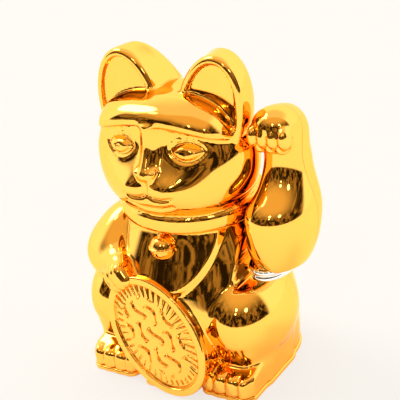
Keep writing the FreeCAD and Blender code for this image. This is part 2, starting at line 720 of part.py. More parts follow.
def arm_plug():
    """A bright oval stopper that closes the arm and grips the lever's neck."""
    low = ellipse("plug_low", "@plug_x", "@plug_y", "@plug_bottom", 8.8, 13.4)
    high = ellipse("plug_high", "@plug_x + 0.8", "@plug_y + 0.2", "@arm_bottom", 9.6, 14.2)
    neck = box("plug_slot", "@pivot_x + 1.1", "@pivot_y - 2.5", 0, 3.2, 5, 90)
    skirt_low = ellipse("skirt_low", "@plug_x + 1.4", "@plug_y", "@arm_bottom", 9.0, 12.6)
    skirt_high = ellipse("skirt_high", "@plug_x + 2", "@plug_y + 0.6", "@arm_bottom + 3", 9.6, 13.4)
    solid = fuse("plug_solid", [loft("plug_taper", [low, high]), loft("plug_skirt", [skirt_low, skirt_high])])
    keep("arm_plug", cut("arm_plug", solid, neck))


# ---------------------------------------------------------------- build, check, write


def check():
    doc.recompute()
    bad = [o.Name for o in doc.Objects if {"Invalid", "Error"} & set(o.State)]
    if bad:
        raise SystemExit(f"failed objects: {bad}")
    for node, obj in kept.items():
        shape = obj.Shape
        if shape.isNull() or not shape.isValid() or not shape.Solids:
            raise SystemExit(f"{node} has no valid solid")


def write():
    os.makedirs("parts", exist_ok=True)
    for old in os.listdir("parts"):
        os.remove(os.path.join("parts", old))
    for node, obj in sorted(kept.items()):
        obj.Shape.exportStep(os.path.join("parts", f"{node}.step"))
        print(f"{node:18s} solids {len(obj.Shape.Solids)}  volume {obj.Shape.Volume / 1000:8.3f} cm3")


fill_sheet()
body_shells()
ornaments()
base_plate()
battery_door()
screws("base_screws", CASE_SCREWS)
screws("frame_screws", FRAME_SCREWS)
battery_tray()
battery_cell()
battery_contacts()
swing_frame()
pivot()
swing_lever()
weight_and_magnet()
coil()
circuit_board()
leads()
arm_shells()
arm_plug()
check()
write()
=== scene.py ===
"""Looks of the beckoning cat: sculpted gold-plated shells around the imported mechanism, and a light tent."""
import bpy
import bmesh
import math
import numpy as np
from mathutils import Matrix

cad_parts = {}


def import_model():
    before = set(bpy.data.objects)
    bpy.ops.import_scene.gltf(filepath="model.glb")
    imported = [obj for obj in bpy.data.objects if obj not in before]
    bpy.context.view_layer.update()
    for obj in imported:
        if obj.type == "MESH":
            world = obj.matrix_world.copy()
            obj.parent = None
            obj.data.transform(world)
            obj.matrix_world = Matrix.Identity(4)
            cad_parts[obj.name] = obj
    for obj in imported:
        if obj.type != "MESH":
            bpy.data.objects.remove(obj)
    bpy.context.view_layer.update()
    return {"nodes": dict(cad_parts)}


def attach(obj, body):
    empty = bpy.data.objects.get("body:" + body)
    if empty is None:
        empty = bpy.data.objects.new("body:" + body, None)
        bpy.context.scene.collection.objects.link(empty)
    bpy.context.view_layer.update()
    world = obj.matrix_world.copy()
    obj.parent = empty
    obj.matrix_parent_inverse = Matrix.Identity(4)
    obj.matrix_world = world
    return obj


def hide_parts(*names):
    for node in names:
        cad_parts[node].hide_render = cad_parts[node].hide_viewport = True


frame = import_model()

MM = 0.001

# ---------------------------------------------------------------- distance fields, in millimetres
# A field takes a point set p, three arrays of x, y and z, and gives each point's distance outside a surface.


def turn_matrix(degrees):
    """Rotation about x, then y, then z."""
    a, b, c = (math.radians(v) for v in degrees)
    about_x = np.array([[1, 0, 0], [0, math.cos(a), -math.sin(a)], [0, math.sin(a), math.cos(a)]])
    about_y = np.array([[math.cos(b), 0, math.sin(b)], [0, 1, 0], [-math.sin(b), 0, math.cos(b)]])
    about_z = np.array([[math.cos(c), -math.sin(c), 0], [math.sin(c), math.cos(c), 0], [0, 0, 1]])
    return about_z @ about_y @ about_x


def local(p, centre, turn=None):
    """The points as seen from a turned frame at centre."""
    x, y, z = (p[n] - centre[n] for n in range(3))
    if turn is None:
        return x, y, z
    m = turn_matrix(turn)
    return tuple(m[0, n] * x + m[1, n] * y + m[2, n] * z for n in range(3))


def ellipsoid(p, centre, radii, turn=None):
    """An ellipsoid. Its distances are close to true only near the surface."""
    x, y, z = local(p, centre, turn)
    a, b, c = radii
    near = np.sqrt((x / a) ** 2 + (y / b) ** 2 + (z / c) ** 2)
    slope = np.sqrt((x / a**2) ** 2 + (y / b**2) ** 2 + (z / c**2) ** 2) + 1e-9
    return near * (near - 1) / slope


def capsule(p, start, end, radius_start, radius_end):
    """A rod with round ends whose radius changes evenly."""
    along = [e - s for s, e in zip(start, end)]
    length2 = sum(v * v for v in along)
    d = [p[n] - start[n] for n in range(3)]
    t = np.clip((d[0] * along[0] + d[1] * along[1] + d[2] * along[2]) / length2, 0, 1)
    x, y, z = (d[n] - t * along[n] for n in range(3))
    return np.sqrt(x * x + y * y + z * z) - (radius_start + (radius_end - radius_start) * t)


def box_field(p, centre, half, rounding=0.0, turn=None):
    """A box given by its half sizes, with rounded edges."""
    q = [np.abs(v) - (h - rounding) for v, h in zip(local(p, centre, turn), half)]
    outside = np.sqrt(sum(np.maximum(v, 0) ** 2 for v in q))
    return outside + np.minimum(np.maximum(q[0], np.maximum(q[1], q[2])), 0) - rounding


def join(a, b, k=0.0):
    """Union of two fields, with a fillet about k wide."""
    if k <= 0:
        return np.minimum(a, b)
    h = np.maximum(k - np.abs(a - b), 0) / k
    return np.minimum(a, b) - h * h * k / 4


def meet(a, b, k=0.0):
    """Intersection of two fields, with its edge rounded about k wide."""
    return -join(-a, -b, k)


def carve(a, b, k=0.0):
    """Field a with b taken out of it."""
    return meet(a, -b, k)


def smooth(t):
    """Eases from 0 to 1 as t goes from 0 to 1."""
    t = np.clip(t, 0, 1)
    return t * t * (3 - 2 * t)


def curve_table(keys, values, at):
    """Smooth values through a short table: Catmull-Rom between its keys."""
    keys, values = np.asarray(keys, float), np.asarray(values, float)
    slopes = np.gradient(values, keys)
    at = np.clip(at, keys[0], keys[-1])
    n = np.clip(np.searchsorted(keys, at) - 1, 0, len(keys) - 2)
    gap = keys[n + 1] - keys[n]
    t = (at - keys[n]) / gap
    return (
        (2 * t**3 - 3 * t**2 + 1) * values[n] + (t**3 - 2 * t**2 + t) * gap * slopes[n]
        + (3 * t**2 - 2 * t**3) * values[n + 1] + (t**3 - t**2) * gap * slopes[n + 1]
    )


def stretch_distance(x, z, points):
    """Distance in a plane from a polyline, for grooves and raised lines."""
    best = None
    for (x0, z0), (x1, z1) in zip(points, points[1:]):
        dx, dz = x1 - x0, z1 - z0
        t = np.clip(((x - x0) * dx + (z - z0) * dz) / (dx * dx + dz * dz), 0, 1)
        d = np.sqrt((x - x0 - t * dx) ** 2 + (z - z0 - t * dz) ** 2)
        best = d if best is None else np.minimum(best, d)
    return best


def triangle(x, z, corners):
    """Signed distance to a triangle whose corners may be arrays, given anticlockwise."""
    best, inside = None, None
    for n in range(3):
        (x0, z0), (x1, z1) = corners[n], corners[(n + 1) % 3]
        dx, dz = x1 - x0, z1 - z0
        t = np.clip(((x - x0) * dx + (z - z0) * dz) / (dx * dx + dz * dz), 0, 1)
        d = (x - x0 - t * dx) ** 2 + (z - z0 - t * dz) ** 2
        side = dx * (z - z0) - dz * (x - x0)
        best = d if best is None else np.minimum(best, d)
        inside = side if inside is None else np.minimum(inside, side)
    return np.where(inside > 0, -1.0, 1.0) * np.sqrt(best)


# ---------------------------------------------------------------- the cat's body

SEAM_Y = 1.4
GROUND = 2.2  # top of the base plate, where the shells stand
SHELF_Z = 48.0  # top of the hip under the raised arm
RECESS_X = 30.4  # flat side of the body beside the raised arm
RECESS_TOP = 84.0
WALL = 2.6
FACE_WALL = 5.0  # thicker in the head, whose relief is deeper
HEAD_Z = 103.0
#          height, radius x, radius y, middle y, squareness
TORSO = (
    (0, 42.5, 31, 0, 2.7), (14, 43.3, 32.5, -0.5, 2.6), (28, 44.2, 36, -3.5, 2.4), (44, 42, 35, -3, 2.15),
    (58, 38, 29.5, -3, 2.1), (70, 31.5, 24.5, -3, 2.1), (78, 27, 22, -4, 2.05), (90, 24, 21, -5, 2),
)


def torso(p):
    """The trunk: sections from TORSO, blended along the height."""
    x, y, z = p
    keys = [row[0] for row in TORSO]
    rx, ry, cy, n = (curve_table(keys, [row[c] for row in TORSO], z) for c in range(1, 5))
    reach = (np.abs(x / rx) ** n + np.abs((y - cy) / ry) ** n + 1e-9) ** (1 / n)
    return meet((reach - 1) * np.minimum(rx, ry) * 0.93, z - 88, 4)


def bib(p):
    """How far the smooth chest stands proud: a shield with a crisp lower edge."""
    x, y, z = p
    edge = np.sqrt((x / 23.5) ** 2 + ((z - 72) / 27.5) ** 2) - 1
    return 1.7 * smooth(0.5 - edge * 26 / 3.0) * (y < 0)


def haunch(p, side):
    """One folded hind leg: thigh, knee, and the flatter sides that run down to the plinth."""
    x, y, z = p
    q = (x * side - (0.9 if side < 0 else 0), y, z)
    thigh = ellipsoid(q, (28, -6.5, 28), (20.6, 26.5, np.where(z > 28, 26, 22)), (0, 0, 6))
    knee = ellipsoid(q, (31.0, -17.5, 30), (16.5, 20.5, np.where(z > 30, 20, 17.5)))
    skirt = box_field(q, (35.2, -11, 5), (8.8, 16, 11), 6.0)
    lower = box_field(q, (32, -20, 14), (8.4, 12.4, 9), 5.0)
    return join(join(join(thigh, knee, 7), skirt, 5), lower, 5)


#  side: middle x, half width, frontmost y
FEET = {1: (30.0, 13.2, -40.4), -1: (27.6, 12.4, -42.8)}


def foot(p, side):
    """A blocky foot with four toes, its flat top sloping down to the front."""
    x, y, z = p
    middle, half, tip = FEET[side]
    fx = x * side - middle
    block = box_field((fx, y, z), (0, tip + 16, 4), (half, 16.0, 12), 5.5)
    roof = (z - 10.4 - (y - tip - 2) * 0.40) * 0.93
    block = meet(block, roof, 2.4)
    front = smooth((tip + 5.5 - y) / 4)
    lobe = np.abs(np.sin(fx / 6.2 * math.pi)) ** 0.7
    crown = smooth((z + 4) / 12)
    return block + front * crown * (0.9 - 1.5 * lobe)


def coin_arm(p):
    """The cat's right arm: shoulder, upper arm, and the paw laid on the coin."""
    upper = join(ellipsoid(p, (-33.2, -9, 56.0), (14.0, 16.5, 17.6), (0, 12, 0)),
                 ellipsoid(p, (-35.5, -16, 51), (13.6, 16, 14)), 8)
    fore = capsule(p, (-35, -19, 51), (-23.5, -32, 51), 11.5, 7.6)
    centre, turn = (-21.0, -37.0, 49.0), (6, -38, -14)
    paw = box_field(p, centre, (7.4, 5.6, 6.6), 4.6, turn)
    across = local(p, centre, turn)[0]
    grooves = sum(np.exp(-((across - gx) / 0.55) ** 2) for gx in (-3.6, 0.0, 3.6))
    paw = paw + 0.75 * grooves * smooth((-p[1] - 37) / 3)
    return join(join(upper, fore, 6), paw, 2.5)


COLLAR_TILT = math.radians(4.5)
COLLAR_Y, COLLAR_Z = -4.0, 79.3
COLLAR_THICK, COLLAR_TALL = 3.5, 4.6  # half sizes of the band


def collar(p):
    """A thick band round the neck, a little lower in front."""
    x, y, z = p[0], p[1] - COLLAR_Y, p[2] - COLLAR_Z
    c, s = math.cos(COLLAR_TILT), math.sin(COLLAR_TILT)
    y, z = y * c + z * s, z * c - y * s
    ring = (np.sqrt((x / 29.5) ** 2 + (y / 27.6) ** 2 + 1e-9) - 1) * 28
    n = 2.6
    section = (np.abs(ring / COLLAR_THICK) ** n + np.abs(z / COLLAR_TALL) ** n + 1e-9) ** (1 / n)
    return (section - 1) * COLLAR_THICK


def head_mass(p):
    """The head without its features: a squat egg, flattened on its face and on its top."""
    x, y, z = p
    up = z - HEAD_Z
    wide = np.where(x > -0.5, 36.7, 38.7)  # narrower beside the swinging arm
    deep = np.where(y > -9, 28.5, 31.0)
    across = np.sqrt(((x + 0.5) / wide) ** 2 + ((y + 9) / deep) ** 2 + 1e-9)
    n = np.where(up > 0, 2.0, 2.6)
    tall = np.abs(up) / np.where(up > 0, 31.0, 27.5)
    d = ((across**n + tall**n) ** (1 / n) - 1) * 30
    face = np.sqrt(x * x + (y - 66) ** 2 + (z - 99) ** 2) - 103
    brow = (z - 131.5 - (y + 17) * 0.22) * 0.97
    return meet(meet(d, face, 8), brow, 6)


def arch(u, v, half_width, height):
    """Distance from an upright egg outline whose widest place is at v = 0."""
    tall = np.where(v > 0, height, 16.0)
    a, b = u / half_width, v / tall
    total = np.sqrt(a * a + b * b + 1e-9)
    slope = np.sqrt((a / half_width) ** 2 + (b / tall) ** 2 + 1e-9) / total
    return (total - 1) / slope


EAR_LEAN = math.radians(10.5)


def ear(p, side):
    """A thick arch that leans outwards, with a flat, sunk front. It falls away and inwards behind."""
    x, y, z = p[0] * side, p[1], p[2]
    back = smooth((y + 5) / 27)
    inward = 8.8 * smooth((y + 13) / 33)
    u, v = x - 20.0 + inward, z - 122.0 + 12 * back
    c, s = math.cos(EAR_LEAN), math.sin(EAR_LEAN)
    u, v = u * c - v * s, v * c + u * s
    shape = arch(u, v, 16.0 - 6.5 * back, 26.6 - 22 * back)
    front = -(y + 17.9 - (z - 118) * 0.03)
    whole = meet(meet(shape, front, 3.2), y - 19, 9)
    floor = -front - 2.1
    sunk = meet(shape + 3.4, floor, 0.9)
    return carve(whole, sunk, 1.1)


def eye_lines(x, z):
    """Distance from the almond's edge, inside negative, for the eye at +x. It leans down towards the nose."""
    u, v = x - 16.4, z - 111.2
    c, s = math.cos(math.radians(-2)), math.sin(math.radians(-2))
    u, v = u * c + v * s, v * c - u * s
    upper = np.sqrt(u * u + (v + 4.8) ** 2) - 8.8
    lower = np.sqrt(u * u + (v - 4.4) ** 2) - 8.5
    return np.maximum(upper, lower)


def face_relief(p):
    """How far the face stands proud of the head's plain form, front side only."""
    x, y, z = p
    ax = np.abs(x)
    front = smooth((-y - 11) / 12)
    ledge = 121.6 - 0.0068 * ax**2
    t = z - ledge
    q = (t - 4.6) / np.where(t < 4.6, 5.0, 10.5)
    roll = np.where(t < 4.6, np.sqrt(np.maximum(1 - q * q, 0) + 1e-4), np.exp(-1.5 * q * q))
    visor = (3.3 + 0.9 * smooth((ax - 6) / 14)) * roll * smooth((35.0 - ax) / 10)
    under = smooth((ledge - z) / 2.5)
    socket = -3.0 * under * np.exp(-((ax / 27.5) ** 4)) * np.exp(-((z - 111.5) / 8.0) ** 2)
    bridge = 3.6 * np.exp(-np.abs(ax / 3.4) ** 2.6) * smooth((z - 98.5) / 3.5) * smooth((124 - z) / 4)
    flank = 1.4 * np.exp(-(ax / 7.5) ** 2) * np.exp(-((z - 105) / 8) ** 2)
    almond = eye_lines(ax, z)
    ball = 2.2 * smooth(-almond / 2.8)
    rim = 0.35 * np.exp(-((almond - 1.0) / 1.1) ** 2)
    ditch = -0.5 * np.exp(-((almond - 0.1) / 0.6) ** 2)
    cheek = 3.1 * np.exp(-((ax / 25) ** 4)) * np.exp(-((z - 91.5) / 9.5) ** 2)
    muzzle = 2.3 * np.exp(-((ax - 8.5) / 7.5) ** 2 - ((z - 96) / 5.2) ** 2)
    chin = 1.0 * np.exp(-(ax / 8) ** 2 - ((z - 84) / 3.5) ** 2)
    philtrum = stretch_distance(ax, z, ((0, 98.0), (0, 93.4)))
    lips = stretch_distance(ax, z, ((0, 93.4), (3.4, 91.9), (7.5, 91.6), (11.6, 92.6)))
    lower_lip = stretch_distance(ax, z, ((0, 89.4), (4.5, 89.0), (9, 89.8)))
    fold = stretch_distance(ax, z, ((0, 86.4), (5, 86.4), (10.5, 88.4)))
    mouth = 0.9 * np.exp(-(lower_lip / 1.5) ** 2) - 0.8 * np.exp(-(fold / 0.9) ** 2)
    mouth = mouth - 1.3 * np.exp(-(np.minimum(philtrum, lips) / 0.75) ** 2)
    features = socket + bridge + flank + ball + rim + ditch + cheek + muzzle + chin + mouth
    return front * (visor + features)


def nose(p):
    """A small three-cornered pad whose underside looks down."""
    x, y, z = local(p, (0, -37.6, 101.4), (24, 0, 0))
    flat = triangle(x, z, ((-4.2, 2.0), (0, -2.2), (4.2, 2.0)))
    return meet(flat - 1.2, np.abs(y) - 2.2, 1.6)


def head(p):
    """The head with its face, nose and ears."""
    d = head_mass(p) - face_relief(p)
    d = join(d, nose(p), 1.4)
    for side in (1, -1):
        d = join(d, ear(p, side), 1.2)
    return d


def arm_recess(p):
    """The flat-sided bay that the raised arm swings in, over the shelf of the hip."""
    x, z = p[0], p[2]
    return meet(meet(RECESS_X - x, SHELF_Z - z, 3.5), z - RECESS_TOP, 3)


def hip_slot(p):
    """The opening in the hip's shelf that the lever's neck swings in."""
    return box_field(p, (36.3, -10, SHELF_Z), (2.6, 5.2, 8), 1.8)


#  the coin stands here because the belly has a boss behind it
COIN_CENTRE = (-1.0, -42.3, 26.0)
COIN_LONG, COIN_SHORT, COIN_HALF_THICK = 30.0, 21.0, 1.6
COIN_LEAN, COIN_TILT = math.radians(42), math.radians(8.5)


def coin_axes():
    """Unit vectors along the coin's short axis, long axis and face normal."""
    up = np.array([0, math.sin(COIN_TILT), math.cos(COIN_TILT)])
    side = np.array([1.0, 0, 0])
    normal = np.array([0, -math.cos(COIN_TILT), math.sin(COIN_TILT)])
    long_axis = up * math.cos(COIN_LEAN) - side * math.sin(COIN_LEAN)
    short_axis = side * math.cos(COIN_LEAN) + up * math.sin(COIN_LEAN)
    return short_axis, long_axis, normal


def coin_place(p):
    """The points in the coin's frame: along its short axis, along its long axis, and out of its face."""
    return tuple(sum((p[n] - COIN_CENTRE[n]) * axis[n] for n in range(3)) for axis in coin_axes())


def oval(a, b, shrink=0.0):
    """Distance from the coin's outline in its own plane."""
    short, tall = COIN_SHORT - shrink, COIN_LONG - shrink
    total = np.sqrt((a / short) ** 2 + (b / tall) ** 2 + 1e-9)
    slope = np.sqrt((a / short**2) ** 2 + (b / tall**2) ** 2 + 1e-9) / total
    return (total - 1) / slope


def coin_boss(p):
    """The part of the belly that the coin is moulded on."""
    a, b, d = coin_place(p)
    boss = meet(oval(a, b, 0.5), np.abs(d + COIN_HALF_THICK + 6.2) - 6)
    return join(boss, box_field(p, (3.0, -38, 3), (12, 6.5, 5), 2.5), 1.5)


def lower_body(p):
    """All of the outside below the head, with the collar."""
    d = torso(p) - bib(p)
    for side in (1, -1):
        d = join(d, haunch(p, side), 1.6)
        d = join(d, foot(p, side), 1.2)
    d = join(d, coin_boss(p), 0.8)
    d = join(d, coin_arm(p), 1.8)
    d = carve(d, arm_recess(p), 1.4)
    return join(d, collar(p), 1.0)


def body_outside(p):
    """The whole outer form of the two body shells."""
    return join(lower_body(p), head(p), 0.8)


def weight_room(p):
    """The space that the weight on the arm's lever sweeps through, over the left foot."""
    return box_field(p, (31.9, -14.6, 20), (7.2, 15.7, 13), 2.0)


def hollow_inside(p):
    """The shells' inner surface: plain forms, deeper than any of the outside's relief."""
    d = torso(p) + WALL
    for side in (1, -1):
        d = join(d, haunch(p, side) + WALL, 2)
    d = join(d, coin_arm(p) + WALL, 2)
    d = carve(d, arm_recess(p) - WALL, 3)
    d = join(d, weight_room(p), 0.5)
    return join(d, head_mass(p) + FACE_WALL, 4)


def body(p):
    """The hollow body, open below where it stands on the plinth."""
    d = carve(body_outside(p), hollow_inside(p))
    d = carve(d, hip_slot(p), 0.6)
    return meet(d, GROUND - p[2])


# ---------------------------------------------------------------- the raised arm

ARM_BOTTOM = 56.0
ARM_SEAM_Y = -3.0
ARM_WALL = 2.4


def elbow(p):
    """The full, egg-shaped lower end of the raised arm."""
    tall = np.where(p[2] > 78, 17.0, 28.6)
    main = ellipsoid(p, (45.5, -2.5, 78), (15.3, 15.5, tall))
    forward = ellipsoid(p, (44.5, -12, 78), (12.8, 13.5, np.where(p[2] > 78, 11.0, 30.0)))
    return join(main, forward, 8)


def forearm(p):
    """The slimmer upper part of the raised arm."""
    return ellipsoid(p, (46.2, 1.2, 93), (10.5, 12.2, 30))


def inner_side(p, inset=0.0):
    """The arm's flat inner side, clear of the body, the collar and the head wherever the arm swings."""
    z = p[2]
    return 31.4 + inset + 2.9 * smooth((z - 66) / 5) + 2.6 * smooth((z - 83) / 8) - p[0]


PAW_X = 46.2
FINGER_PITCH, PAD_PITCH = 4.6, 4.7


def arm_outside(p):
    """The arm's outer form, its paw bent forwards with four fingers and three pads."""
    d = meet(join(elbow(p), forearm(p), 9), inner_side(p), 4)
    wrist = ellipsoid(p, (46.0, -0.4, 114.3), (9.0, 9.8, 9.2))
    d = join(d, wrist, 6)
    paw = ellipsoid(p, (46.0, -8.0, 118.2), (9.8, 9.8, 8.3))
    d = join(d, paw, 4)
    for n in range(4):
        x = PAW_X + (n - 1.5) * FINGER_PITCH
        d = join(d, ellipsoid(p, (x, -14.6 + 0.3 * (n - 1.5) ** 2, 115.4), (2.8, 4.4, 5.0)), 0.7)
    for n in range(3):
        x = PAW_X + (n - 1) * PAD_PITCH
        d = join(d, ellipsoid(p, (x, -11.5, 109.8), (2.6, 3.8, 2.4)), 1.4)
    return d


def arm_inside(p):
    """The arm shells' inner surface, from the same plain forms as the outside."""
    return meet(join(elbow(p), forearm(p), 9) + ARM_WALL, inner_side(p, ARM_WALL), 2)


def arm(p):
    """The hollow arm, open below where the plug sits."""
    d = carve(arm_outside(p), arm_inside(p))
    return meet(d, ARM_BOTTOM - p[2], 0.5)


# ---------------------------------------------------------------- coin, bell and plug

RIM_WIDTH = 3.4


def coin_relief(a, b):
    """Height of the coin's pattern: a plain rim, teeth on its right side, and wavy raised dashes."""
    edge = -oval(a, b)
    angle = np.arctan2(a / COIN_SHORT, b / COIN_LONG)
    right = smooth((a + 0.35 * b + 4) / 8)
    rim = 0.55 * smooth((RIM_WIDTH + 0.6 - edge) / 0.9)
    inner = smooth((edge - RIM_WIDTH) / 0.6)
    taper = np.clip((RIM_WIDTH + 6.2 - edge) / 6.2, 0, 1)
    tooth = smooth((np.cos(angle * 44) + 1.35 * taper - 0.75) / 0.5)
    teeth = -1.3 * inner * tooth * taper * right
    line = -0.7 * np.exp(-((edge - RIM_WIDTH - 0.6) / 0.5) ** 2) * (1 - right)
    tick_band = smooth((edge - 5.0) / 0.4) * smooth((8.0 - edge) / 0.4)
    ticks = smooth((np.cos(angle * 40) - 0.55) / 0.35) * tick_band
    line = line - 0.7 * ticks * (1 - right)
    column = (a + 1.3 * np.sin(b * 0.5)) / 5.2
    gap = b / 14.0 + 0.37 * np.round(column)
    dash = smooth((np.cos(gap * 2 * math.pi) + 0.72) / 0.4) * smooth((edge - 8.6) / 1.2)
    wave = 1.1 * dash * smooth((np.cos(column * 2 * math.pi) - 0.1) / 0.6)
    return rim + teeth + line + wave


def coin(p):
    """The oval coin with its raised pattern."""
    a, b, d = coin_place(p)
    face = d - COIN_HALF_THICK - coin_relief(a, b) + 0.5
    back = -d - COIN_HALF_THICK
    return meet(meet(oval(a, b), face * 0.85, 1.0), back, 0.4)


BELL = (0.0, -32.0, 65.5)


def bell(p):
    """A round bell with a waist band, a slot below and a loop above."""
    x, y, z = (p[n] - BELL[n] for n in range(3))
    radius = np.sqrt(x * x + y * y + z * z + 1e-9)
    d = radius - 5.5
    band = meet(radius - 6.0, np.abs(z - 0.3) - 0.55, 0.4)
    slot = meet(np.maximum(np.abs(x) - 0.55, z + 1.2), 3.6 - radius)
    d = carve(join(d, band, 0.3), slot, 0.2)
    loop = np.sqrt((np.sqrt(y * y + (z - 6.3) ** 2 + 1e-9) - 1.6) ** 2 + x * x) - 0.6
    return join(d, loop, 0.5)


PLUG_X, PLUG_Y, PLUG_Z = 42.0, -9.0, 54.6
PLUG_HALF_HEIGHT = 3.0


def plug(p):
    """The bright stopper under the raised arm: an oval cup with a soft lower edge and a shallow waist."""
    x, y, z = p[0] - PLUG_X, p[1] - PLUG_Y, p[2] - PLUG_Z
    t = np.clip((z + PLUG_HALF_HEIGHT) / (2 * PLUG_HALF_HEIGHT), 0, 1)
    rx, ry = 8.6 + 1.0 * t, 14.0 + 1.1 * t
    side = (np.sqrt((x / rx) ** 2 + (y / ry) ** 2 + 1e-9) - 1) * rx * 0.96
    side = side + 0.45 * np.exp(-(z / 0.7) ** 2)
    return meet(side, np.abs(z) - PLUG_HALF_HEIGHT, 1.6)


#  four screws hold the shells, the last two hold the swing's frame
SCREW_HOLES = ((18, -33), (-33, -25), (14, 27), (-14, 27), (21.3, -14), (21.3, -6))
HEAD_RADIUS, SHANK_RADIUS, HEAD_DEPTH = 2.8, 1.4, 1.3
LIP = 0.5  # how far the plinth stands out past the shells


def base(p):
    """The plinth follows the shells' outline as a thin lip, open for the battery door and the screws."""
    x, y, z = p
    outline = lower_body((x, y, np.full_like(z, 0.5))) - LIP
    d = meet(outline, np.abs(z - GROUND / 2) - GROUND / 2, 0.7)
    opening = box_field(p, (-3.5, 9.5, 0), (26, 8.4, 9), 0.4)
    for hole_x, hole_y in SCREW_HOLES:
        across = np.sqrt((x - hole_x) ** 2 + (y - hole_y) ** 2)
        opening = join(opening, across - np.where(z < HEAD_DEPTH, HEAD_RADIUS, SHANK_RADIUS))
    return carve(d, opening, 0.2)


# ---------------------------------------------------------------- from field to mesh


def sample_band(field, low, high, step, coarse=5):
    """Field values on a fine grid. Away from the surface a coarse grid's values stand in."""
    low, high = np.asarray(low, float), np.asarray(high, float)
    blocks = np.ceil((high - low) / (step * coarse)).astype(int)
    size = blocks * coarse + 1
    axes = [low[n] + step * np.arange(size[n]) for n in range(3)]
    centres = [low[n] + step * coarse * (np.arange(blocks[n]) + 0.5) for n in range(3)]
    grid = np.meshgrid(*centres, indexing="ij")
    rough = field(tuple(g.ravel() for g in grid)).reshape(blocks)
    values = np.repeat(np.repeat(np.repeat(rough, coarse, 0), coarse, 1), coarse, 2)
    values = np.pad(values, ((0, 1), (0, 1), (0, 1)), mode="edge")
    near = np.abs(rough) < step * coarse * 1.25 + 1.6
    mask = np.zeros(size, bool)
    for i in range(2):
        for j in range(2):
            for k in range(2):
                grown = np.repeat(np.repeat(np.repeat(near, coarse, 0), coarse, 1), coarse, 2)
                mask[i:i + grown.shape[0], j:j + grown.shape[1], k:k + grown.shape[2]] |= grown
    index = np.nonzero(mask)
    values[index] = field(tuple(axes[n][index[n]] for n in range(3)))
    return values, low


def surface_nets(values, low, step):
    """One vertex in each cell that the surface crosses, and a quad round each crossed grid edge."""
    inside = values < 0
    shape = np.array(values.shape) - 1
    corners = [(i, j, k) for i in (0, 1) for j in (0, 1) for k in (0, 1)]
    count = sum(
        inside[i:i + shape[0], j:j + shape[1], k:k + shape[2]].astype(np.int8) for i, j, k in corners)
    crossed = (count > 0) & (count < 8)
    cells = np.argwhere(crossed)
    number = -np.ones(shape, np.int64)
    number[crossed] = np.arange(len(cells))
    total, hits = np.zeros((len(cells), 3)), np.zeros(len(cells))
    for a in corners:
        for axis in range(3):
            if a[axis]:
                continue
            b = list(a)
            b[axis] = 1
            va = values[tuple((cells + a).T)]
            vb = values[tuple((cells + b).T)]
            cut = (va < 0) != (vb < 0)
            t = np.where(cut, va / np.where(cut, va - vb, 1), 0)
            point = np.tile(np.array(a, float), (len(cells), 1))
            point[:, axis] = t
            total += point * cut[:, None]
            hits += cut
    points = low + step * (cells + total / hits[:, None])
    quads = []
    for axis in range(3):
        u, v = (axis + 1) % 3, (axis + 2) % 3
        first = [slice(None)] * 3
        second = [slice(None)] * 3
        first[axis], second[axis] = slice(0, -1), slice(1, None)
        a, b = inside[tuple(first)], inside[tuple(second)]
        edges = np.argwhere(a != b)
        keep = np.all((edges[:, [u, v]] > 0) & (edges[:, [u, v]] < shape[[u, v]]), axis=1)
        edges = edges[keep]
        rising = a[tuple(edges.T)]
        ring = []
        for du, dv in ((-1, -1), (0, -1), (0, 0), (-1, 0)):
            cell = edges.copy()
            cell[:, u] += du
            cell[:, v] += dv
            ring.append(number[tuple(cell.T)])
        ring = np.stack(ring, 1)
        ring[~rising] = ring[~rising][:, ::-1]
        quads.append(ring)
    return points, np.concatenate(quads)


def settle(field, points, rounds=3, reach=0.12, limit=0.5):
    """Moves vertices onto the surface along the field's slope."""
    for _ in range(rounds):
        p = tuple(points.T)
        value = field(p)
        slope = np.empty_like(points)
        for n in range(3):
            ahead = [q.copy() for q in p]
            behind = [q.copy() for q in p]
            ahead[n] += reach
            behind[n] -= reach
            slope[:, n] = (field(tuple(ahead)) - field(tuple(behind))) / (2 * reach)
        size2 = np.maximum((slope**2).sum(1), 0.05)
        move = -(value / size2)[:, None] * slope
        length = np.linalg.norm(move, axis=1)
        move *= np.minimum(1, limit / np.maximum(length, 1e-9))[:, None]
        points = points + move
    return points


def sculpt(name, field, low, high, step):
    """A closed mesh of the field's surface, in metres."""
    values, low = sample_band(field, low, high, step)
    points, quads = surface_nets(values, low, step)
    points = settle(field, points)
    mesh = bpy.data.meshes.new(name)
    mesh.vertices.add(len(points))
    mesh.vertices.foreach_set("co", (points * MM).astype(np.float32).ravel())
    mesh.loops.add(quads.size)
    mesh.loops.foreach_set("vertex_index", quads.astype(np.int32).ravel())
    mesh.polygons.add(len(quads))
    mesh.polygons.foreach_set("loop_start", np.arange(0, quads.size, 4, dtype=np.int32))
    mesh.update(calc_edges=True)
    mesh.validate()
    mesh.shade_smooth()
    return mesh


def new_piece(name, mesh, body_name, slot, *nodes):
    """An object that rides a body and stands for the given CAD parts."""
    piece = bpy.data.objects.new(name, mesh)
    bpy.context.scene.collection.objects.link(piece)
    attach(piece, body_name)
    if nodes:
        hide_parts(*nodes)
    return piece


